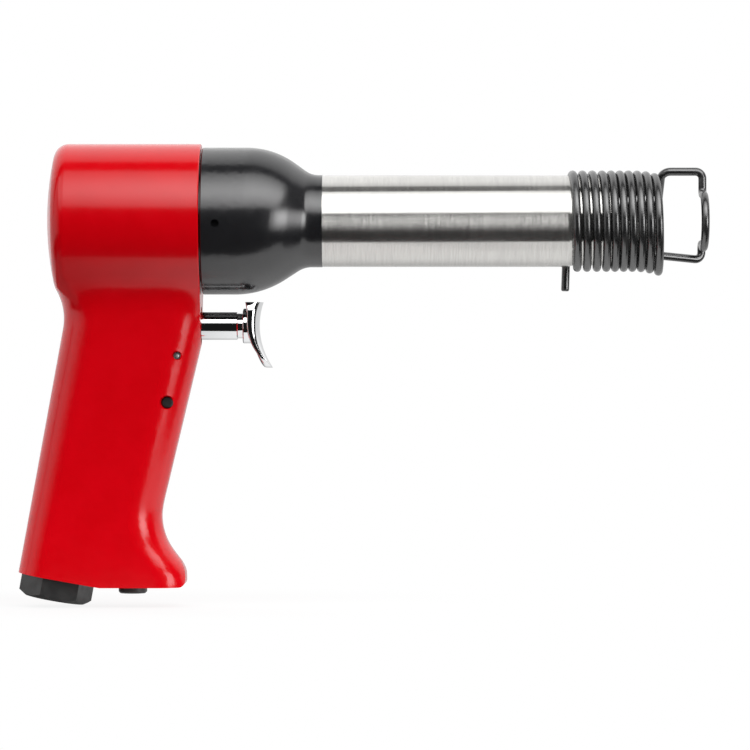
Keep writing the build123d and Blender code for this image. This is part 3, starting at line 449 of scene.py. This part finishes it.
def bent_run(corners, radii):
    """Points along straight runs whose corners are rounded: each arc touches both of its runs,
    so it starts the radius times the tangent of half the turn before the corner."""
    parts = []
    here = corners[0]
    for before, corner, after, radius in zip(corners, corners[1:], corners[2:], radii):
        into = (corner - before) / np.linalg.norm(corner - before)
        away = (after - corner) / np.linalg.norm(after - corner)
        turn = math.acos(float(np.clip(into @ away, -1, 1)))
        inward = (away - into * (into @ away)) / math.sin(turn)
        first = corner - into * radius * math.tan(turn / 2)
        steps = max(int(radius * turn / BEND_STEP), BEND_STEPS_LEAST)
        angles = np.linspace(0, turn, steps + 1)[1:, None]
        arc = first + radius * (into * np.sin(angles) + inward * (1 - np.cos(angles)))
        parts += [run(here, first), arc]
        here = arc[-1]
    parts.append(run(here, corners[-1]))
    return np.concatenate(parts)


def droop_share(turns):
    """How far along the drooping last turns, from 0 to 1."""
    return np.maximum(turns - LAST_TURN + DROOP_TURNS, 0) / DROOP_TURNS


def coil_point(turns):
    """Helix round X: the angle is a full circle a turn, the pitch changes after the nose turns,
    and the last turns sink by the droop times the square of how far along them the wire is."""
    free_turns = np.maximum(turns - NOSE_TURNS, 0)
    advance = NOSE_PITCH * np.minimum(turns, NOSE_TURNS) + FREE_PITCH * free_turns
    angle = 2 * np.pi * turns
    height = COIL_RADIUS * np.sin(angle) - COIL_DROOP * droop_share(turns) ** 2
    return np.stack([COIL_START + advance, COIL_RADIUS * np.cos(angle), height], axis=-1)


def coil_heading(turns, pitch):
    """Direction of the helix after so many turns."""
    angle = 2 * math.pi * turns
    circle = 2 * math.pi * COIL_RADIUS
    sink = 2 * COIL_DROOP * droop_share(turns) / DROOP_TURNS
    heading = np.array([pitch, -circle * math.sin(angle), circle * math.cos(angle) - sink])
    return heading / np.linalg.norm(heading)


def circle_arc(x, centre, radius, start, end, steps):
    """Points of an arc in a plane across X, without its first point."""
    angles = np.linspace(start, end, steps + 1)[1:]
    across = (centre[0] + radius * np.cos(angles), centre[1] + radius * np.sin(angles))
    return np.stack([np.full(steps, x), *across], axis=-1)


def retainer_path():
    """Centre line of the wire: a straight tail, the coils, the bail, its loop, a hook and the leg."""
    coils = coil_point(np.linspace(0, LAST_TURN, int(LAST_TURN * STEPS_A_TURN) + 1))
    tail = coils[0] - coil_heading(0, NOSE_PITCH) * TAIL_LENGTH
    heading = coil_heading(LAST_TURN, FREE_PITCH)
    bail_top = COIL_RADIUS + BAIL_RISE
    corner = coils[-1] + heading * (bail_top - coils[-1][2]) / heading[2]
    x_loop = coils[-1][0] + BAIL_REACH
    bail = np.array(
        [
            coils[-1],
            corner,
            (x_loop, corner[1], bail_top),
            (x_loop, corner[1], LOOP_RADIUS),
            (x_loop, 0, LOOP_RADIUS),
        ]
    )
    out = np.array([math.cos(LOOP_END), math.sin(LOOP_END)])
    hook_centre = out * (LOOP_RADIUS + HOOK_RADIUS)
    hook_y = hook_centre[0] + HOOK_RADIUS
    leg = np.array(
        [
            (x_loop, hook_y, hook_centre[1]),
            (x_loop, hook_y, hook_centre[1] - LEG_STRAIGHT - FOLD_RADIUS),
            (x_loop - LEG_LENGTH, 0, LEG_INSET - COIL_RADIUS),
        ]
    )
    return np.concatenate(
        [
            tail[None],
            run(tail, coils[0]),
            coils[1:],
            bent_run(bail, (BEND_RADIUS, FOLD_RADIUS, FOLD_RADIUS)),
            circle_arc(x_loop, (0, 0), LOOP_RADIUS, math.pi / 2, LOOP_END, LOOP_STEPS),
            circle_arc(x_loop, hook_centre, HOOK_RADIUS, LOOP_END - math.pi, 0, HOOK_STEPS),
            bent_run(leg, (FOLD_RADIUS,)),
        ]
    )


def wire_tube(path, radius):
    """Circles carried along a path. Each circle is square to the path: its first arm is the X axis,
    or the line from the barrel's axis where the path runs along X, made square to the path.
    The two ends close with smaller rings: at a depth d from the cut, as a share of the end's round,
    the ring's radius is less by that round times one minus the root of d times two minus d."""
    heading = np.gradient(path, axis=0)
    heading /= np.linalg.norm(heading, axis=1, keepdims=True)
    depth = np.array(END_DEPTHS)
    end_round = END_ROUND * radius
    cut_in = end_round * depth[:, None]
    size_in = radius - end_round * (1 - np.sqrt(depth * (2 - depth)))
    steps = len(depth)
    start = path[0] + heading[0] * cut_in
    end = path[-1] - heading[-1] * cut_in[::-1]
    centres = np.concatenate([start, path[1:-1], end])
    first_heading = np.repeat(heading[:1], steps, 0)
    last_heading = np.repeat(heading[-1:], steps, 0)
    ahead = np.concatenate([first_heading, heading[1:-1], last_heading])
    size = np.concatenate([size_in, np.full(len(path) - 2, radius), size_in[::-1]])
    radial = centres * (0, 1, 1)
    radial /= np.linalg.norm(radial, axis=1, keepdims=True)
    share = (ahead[:, :1] ** 2).clip(0, 1)
    arm = (1 - share) * np.array([1.0, 0, 0]) + share * radial
    arm -= ahead * (arm * ahead).sum(1, keepdims=True)
    arm /= np.linalg.norm(arm, axis=1, keepdims=True)
    other = np.cross(ahead, arm)
    angle = np.linspace(0, 2 * np.pi, RING_SIDES, endpoint=False)[None, :, None]
    rings = centres[:, None] + size[:, None, None] * (
        arm[:, None] * np.cos(angle) + other[:, None] * np.sin(angle)
    )
    length = np.concatenate([[0], np.cumsum(np.linalg.norm(np.diff(centres, axis=0), axis=1))])
    return rings.reshape(-1, 3), length


def add_retainer():
    """The wound wire retainer, in place of its solid."""
    points, length = wire_tube(retainer_path(), WIRE_RADIUS)
    piece = add_piece("retainer_wire", points, RING_SIDES, "black_wire", "handle", length)
    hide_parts("retainer_spring")


# Throttle spring: in millimetres, along its slanted bore from its fixed lower end
SPRING_FOOT = np.array([-157.616, 0.0, -58.926])
SPRING_UP = np.array([0.1484917, 0.0, 0.9889137])
SPRING_WIRE = 0.3
SPRING_COIL = 2.7
SPRING_HEIGHT = 6.22
SPRING_CLOSED_TURN = 1.0
SPRING_OPEN_TURNS = 3.0
SPRING_TURNS = SPRING_OPEN_TURNS + 2 * SPRING_CLOSED_TURN
SPRING_CLOSED_PITCH = 2 * SPRING_WIRE * 1.05


def add_throttle_spring():
    """A helix about the slanted bore, with one closed turn at each end and an even pitch between them."""
    turns = np.linspace(0, SPRING_TURNS, int(SPRING_TURNS) * STEPS_A_TURN)
    closed_turns = 2 * SPRING_CLOSED_TURN
    rise = SPRING_HEIGHT - 2 * SPRING_WIRE - SPRING_CLOSED_PITCH * closed_turns
    open_turns = np.clip(turns - SPRING_CLOSED_TURN, 0, SPRING_OPEN_TURNS)
    height = SPRING_WIRE + SPRING_CLOSED_PITCH * (turns - open_turns)
    height += rise / SPRING_OPEN_TURNS * open_turns
    forward = np.array([SPRING_UP[2], 0.0, -SPRING_UP[0]])
    angle = 2 * np.pi * turns[:, None]
    across = SPRING_COIL * (forward * np.cos(angle) + np.array([0.0, 1.0, 0.0]) * np.sin(angle))
    points, length = wire_tube(SPRING_FOOT + SPRING_UP * height[:, None] + across, SPRING_WIRE)
    piece = add_piece("throttle_coil", points, RING_SIDES, "turned_steel", "handle", length)
    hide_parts("throttle_spring")
    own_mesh(piece)


# Trigger pad and the boss behind it: in millimetres, from the middle of the boss's back face
PAD_BACK = -129.6
PAD_DROP = 36.3
PAD_HALF_WIDTH = 7.0
PAD_TOP = 8.1
PAD_BOTTOM = -14.6
PAD_DEPTH = 5.85
PAD_HOLLOW = 25.0
PAD_TONGUE = 2.7
PAD_PLATE_BACK = 1.3
PAD_EDGE = 2.45
PAD_BEND_START = 0.5
PAD_BEND = 0.035
PAD_TAPER_START = 4.2
PAD_TAPER_SLOPE = 0.6
PAD_FRONT_POWER = 2.3
PAD_BACK_POWER = 5.0
PAD_TIP_POWER = 3.5
PAD_THIN_POWER = 9.0
PAD_EDGE_TO_BACK = 0.3
PAD_EDGE_TO_FRONT = 0.5
PAD_POLE_ANGLE = 0.02
PAD_ROWS = 150
PAD_SIDES = 88
BOSS_RADIUS = 6.15
BOSS_DEPTH = 3.0
BOSS_ROUND = 0.5
BOSS_STEPS = 8


def squared(share, power):
    """One in the middle, falling to zero at a share of 1, and the squarer the higher the power."""
    return (1 - np.abs(share) ** power).clip(0, 1) ** (1 / power)


def add_trigger_pad():
    """A crowned finger pad. Each level is a closed oval from the pad's back to its hollow front, with
    |x| plus |y|, each to a power, equal to 1: the front power ahead of its widest line and the back
    power behind it. That line and the back follow a parabola down to the thin tongue. Levels taper by
    a square law to the flat top and close to the rounded tip."""
    middle = (PAD_TOP + PAD_BOTTOM) / 2
    share = -np.cos(np.linspace(PAD_POLE_ANGLE, np.pi - PAD_POLE_ANGLE, PAD_ROWS))[:, None]
    height = middle + (PAD_TOP - middle) * share
    front = PAD_DEPTH + PAD_HOLLOW - np.sqrt(PAD_HOLLOW**2 - height**2)
    tongue = PAD_DEPTH + PAD_HOLLOW - np.sqrt((PAD_HOLLOW + PAD_TONGUE) ** 2 - height**2)
    bend = PAD_BEND * np.maximum(PAD_BEND_START - height, 0) ** 2
    above = np.maximum(height - PAD_TAPER_START, 0)
    taper = PAD_TAPER_SLOPE * above**2 / (PAD_TOP - PAD_TAPER_START) / 2
    back = np.minimum(PAD_PLATE_BACK + bend - taper / 2, np.maximum(tongue, PAD_PLATE_BACK))
    edge = np.clip(PAD_EDGE + bend, back + PAD_EDGE_TO_BACK, front - PAD_EDGE_TO_FRONT)
    width = PAD_HALF_WIDTH * squared(np.minimum(share, 0), PAD_TIP_POWER) - taper
    depth = squared(np.minimum(share, 0), PAD_THIN_POWER)
    angle = np.linspace(0, 2 * np.pi, PAD_SIDES, endpoint=False)[None, :]
    power = 2 / np.where(np.cos(angle) > 0, PAD_FRONT_POWER, PAD_BACK_POWER)
    reach = np.where(np.cos(angle) > 0, front - edge, edge - back) * depth
    x = PAD_BACK + edge + reach * np.sign(np.cos(angle)) * np.abs(np.cos(angle)) ** power
    y = width * np.sign(np.sin(angle)) * np.abs(np.sin(angle)) ** power
    z = np.broadcast_to(height - PAD_DROP, x.shape)
    points = np.stack([x, y, z], axis=-1).reshape(-1, 3)
    piece = add_piece("trigger_plate", points, PAD_SIDES, "chrome_plate", "trigger")
    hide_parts("trigger_pad")


def add_trigger_boss():
    """The round boss behind the pad. It is turned about the stem's axis: within the round of its back
    edge, at a share d of that round from the back face, its radius is less by the round times one
    minus the root of d times two minus d."""
    share = np.linspace(0, 1, BOSS_STEPS + 1)
    straight = np.linspace(BOSS_ROUND, BOSS_DEPTH, BOSS_STEPS + 1)[1:]
    x = np.concatenate([share * BOSS_ROUND, straight])[:, None]
    round_off = np.concatenate([1 - np.sqrt(share * (2 - share)), np.zeros(BOSS_STEPS)])[:, None]
    radius = BOSS_RADIUS - BOSS_ROUND * round_off
    angle = np.linspace(0, 2 * np.pi, PAD_SIDES, endpoint=False)[None, :]
    y = radius * np.cos(angle)
    z = radius * np.sin(angle) - PAD_DROP
    points = np.stack([np.broadcast_to(PAD_BACK + x, y.shape), y, z], axis=-1).reshape(-1, 3)
    add_piece("trigger_boss", points, PAD_SIDES, "chrome_plate", "trigger")


# Floor: it ends a little in front of the tool. Pairs say where a change starts and where it is whole,
# across the picture or away from the camera, and two more numbers are the levels there.
FLOOR_LEFT = -0.36
FLOOR_RIGHT = 0.05
FLOOR_FRONT = -0.098
FLOOR_BACK = 0.6
FLOOR_GAP = 0.0006
FLOOR_GREY = 0.86
SHADOW_LEFT = (-0.34, -0.24)
SHADOW_RIGHT = (-0.02, -0.14)
SHADOW_FRONT = (-0.09, -0.03)
SHADOW_BACK = (0.12, 0.03)
SHADOW_SHARE = 0.12
# Painted shadow: the floor's glow in the tool's gloss is dimmed under the grip, standing in for the
# grip's shadow
PAINTED_SHADOW_UNDER_GRIP = (-0.215, -0.125, 0.15, 1.0)
GLOSS_FAR = (0.02, 0.16, 1.0, 0.65)


def add_floor():
    """A flat pale sheet under the tool. It reads as white, and keeps a soft shadow at the foot.
    In the tool's gloss its glow is dimmer under the grip, a painted shadow of the grip, and dimmer far
    behind."""
    level = cad_box[0].z - FLOOR_GAP
    corners = np.array(
        [
            (FLOOR_LEFT, FLOOR_FRONT, level),
            (FLOOR_RIGHT, FLOOR_FRONT, level),
            (FLOOR_RIGHT, FLOOR_BACK, level),
            (FLOOR_LEFT, FLOOR_BACK, level),
        ]
    )
    mesh = bpy.data.meshes.new("floor")
    mesh.from_pydata(corners.tolist(), [], [(0, 1, 2, 3)])
    floor = bpy.data.objects.new("floor", mesh)
    scene.collection.objects.link(floor)
    material = bpy.data.materials.new("pale_floor")
    web = Web(material)
    across, away, _ = web.parts(web.place())
    near = across.ease(*SHADOW_LEFT) * across.ease(*SHADOW_RIGHT)
    near = near * away.ease(*SHADOW_FRONT) * away.ease(*SHADOW_BACK)
    # Glow seen in the tool's gloss: a painted shadow under the grip, and dimmer far behind
    gloss_level_with_painted_shadow = across.ease(*PAINTED_SHADOW_UNDER_GRIP) * away.ease(*GLOSS_FAR)
    sight = web.node("ShaderNodeLightPath", out=0)
    gloss = web.node("ShaderNodeLightPath", out=3)
    clear = web.node("ShaderNodeLightPath", out=6)
    straight = sight.maths("MAXIMUM", sight, clear)
    seen = straight.maths("MAXIMUM", straight * (1 - SHADOW_SHARE * near), gloss)
    grey = (FLOOR_GREY, FLOOR_GREY, FLOOR_GREY, 1)
    matt = web.node("ShaderNodeBsdfDiffuse", None, {"Color": grey})
    glow = straight + (1 - straight) * gloss_level_with_painted_shadow
    white = web.node("ShaderNodeEmission", None, {"Color": glow, "Strength": 1.0})
    both = web.node("ShaderNodeMixShader", None, {0: seen, 1: matt, 2: white})
    web.node("ShaderNodeOutputMaterial", None, {"Surface": both})
    mesh.materials.append(material)


# Room: turns to the right and rises, counted from the camera's side of the tool, and how bright it is
RIGHT_WALL = np.radians((93, 110))
RIGHT_LEVEL = 0.72
LEFT_WALL = np.radians((-27, -76))
LEFT_FOOT = (-0.34, -0.24)
LEFT_LEVEL = 0.82
LEFT_BACK_WALL = np.radians((-92, -120))
LEFT_BACK_LEVEL = 0.85
GAP_START = np.radians((76, 79))
GAP_END = np.radians((99, 95))
BACK_WALL = (0.1, 0.5)
BACK_FOOT = (0.05, 0.4)
BACK_LEVEL = 0.38
ROOM_LEAST = 0.01


def add_room():
    """White to the eye. To the tool it is pale at both sides and behind, dark on the camera's side,
    and has a dark gap above."""
    world = bpy.data.worlds.new("room")
    scene.world = world
    web = Web(world)
    x, y, z = web.parts(web.node("ShaderNodeTexCoord", out=0))
    turn = x.maths("ARCTAN2", x, 0 - y)
    rise = z.maths("ARCTAN2", z, 0 - y)
    right = turn.ease(*RIGHT_WALL, 0.0, RIGHT_LEVEL)
    left = turn.ease(*LEFT_WALL, 0.0, LEFT_LEVEL) * z.ease(*LEFT_FOOT)
    left = left.maths("MAXIMUM", left, turn.ease(*LEFT_BACK_WALL, 0.0, LEFT_BACK_LEVEL))
    behind = y.ease(*BACK_WALL, 0.0, BACK_LEVEL) * z.ease(*BACK_FOOT)
    gap = rise.ease(*GAP_START) * rise.ease(*GAP_END)
    round_tool = (right + left + behind) * (1 - gap) + ROOM_LEAST
    sight = web.node("ShaderNodeLightPath", out=0)
    shade = sight + (1 - sight) * round_tool
    light = web.node("ShaderNodeBackground", None, {"Color": shade, "Strength": 1.0})
    web.node("ShaderNodeOutputWorld", None, {"Surface": light})


# Lamps: what they face, and the fades over their faces, in shares of a lamp's width or height with the
# levels where a fade starts and where it ends
LAMP_AIM = Vector((-0.12, 0.0, -0.02))
SOFT_LEFT_FADE = (0.36, 0.47, 0.42, 1.0)
SOFT_FOOT_FADE = (0.0, 0.42, 0.5, 1.0)
SOFT_TOP_FADE = (1.0, 0.42, 0.36, 1.0)
SIDE_LEFT_FADE = (0.0, 0.4, 0.75, 1.0)
SIDE_RIGHT_FADE = (1.0, 0.6, 0.75, 1.0)
SIDE_FOOT_FADE = (0.0, 0.6, 0.0, 1.0)
SIDE_TOP_FADE = (1.0, 0.7, 0.6, 1.0)


def soft_glow(across, up):
    """Brightest a little under its middle, and dimmer towards its left end, its top and its foot."""
    return across.ease(*SOFT_LEFT_FADE) * up.ease(*SOFT_FOOT_FADE) * up.ease(*SOFT_TOP_FADE)


def side_glow(across, up):
    """A little dimmer towards its sides and its top, and dark at its foot."""
    level = across.ease(*SIDE_LEFT_FADE) * across.ease(*SIDE_RIGHT_FADE)
    return level * up.ease(*SIDE_FOOT_FADE) * up.ease(*SIDE_TOP_FADE)


def add_lamp(name, turn, rise, distance, width, height, level, glow):
    """A soft lamp that faces the tool, so far to the right of the camera and above it. Its level
    is how bright it looks, and the glow function spreads that over its face."""
    data = bpy.data.lights.new(name, "AREA")
    data.shape = "RECTANGLE"
    data.size = width
    data.size_y = height
    data.energy = level * math.pi * width * height
    web = Web(data)
    across, up, _ = web.parts(web.node("ShaderNodeNewGeometry", out=5))
    face = web.node("ShaderNodeEmission", None, {"Color": glow(across, up), "Strength": 1.0})
    web.node("ShaderNodeOutputLight", None, {"Surface": face})
    way = Vector(
        (
            math.sin(turn) * math.cos(rise),
            -math.cos(turn) * math.cos(rise),
            math.sin(rise),
        )
    )
    lamp = bpy.data.objects.new(name, data)
    lamp.location = LAMP_AIM + way * distance
    lamp.rotation_euler = (-way).to_track_quat("-Z", "Y").to_euler()
    lamp.visible_camera = False
    scene.collection.objects.link(lamp)


add_camera()
dress_nodes()
add_retainer()
add_throttle_spring()
add_trigger_pad()
add_trigger_boss()
add_floor()
add_room()
add_lamp(
    "soft_lamp",
    turn=math.radians(4),
    rise=math.radians(48.7),
    distance=0.95,
    width=2.1,
    height=1.07,
    level=4.0,
    glow=soft_glow,
)
add_lamp(
    "side_lamp",
    turn=math.radians(55),
    rise=math.radians(-3.8),
    distance=1.1,
    width=0.5,
    height=0.66,
    level=6.0,
    glow=side_glow,
)
scene.view_settings.view_transform = "Standard"
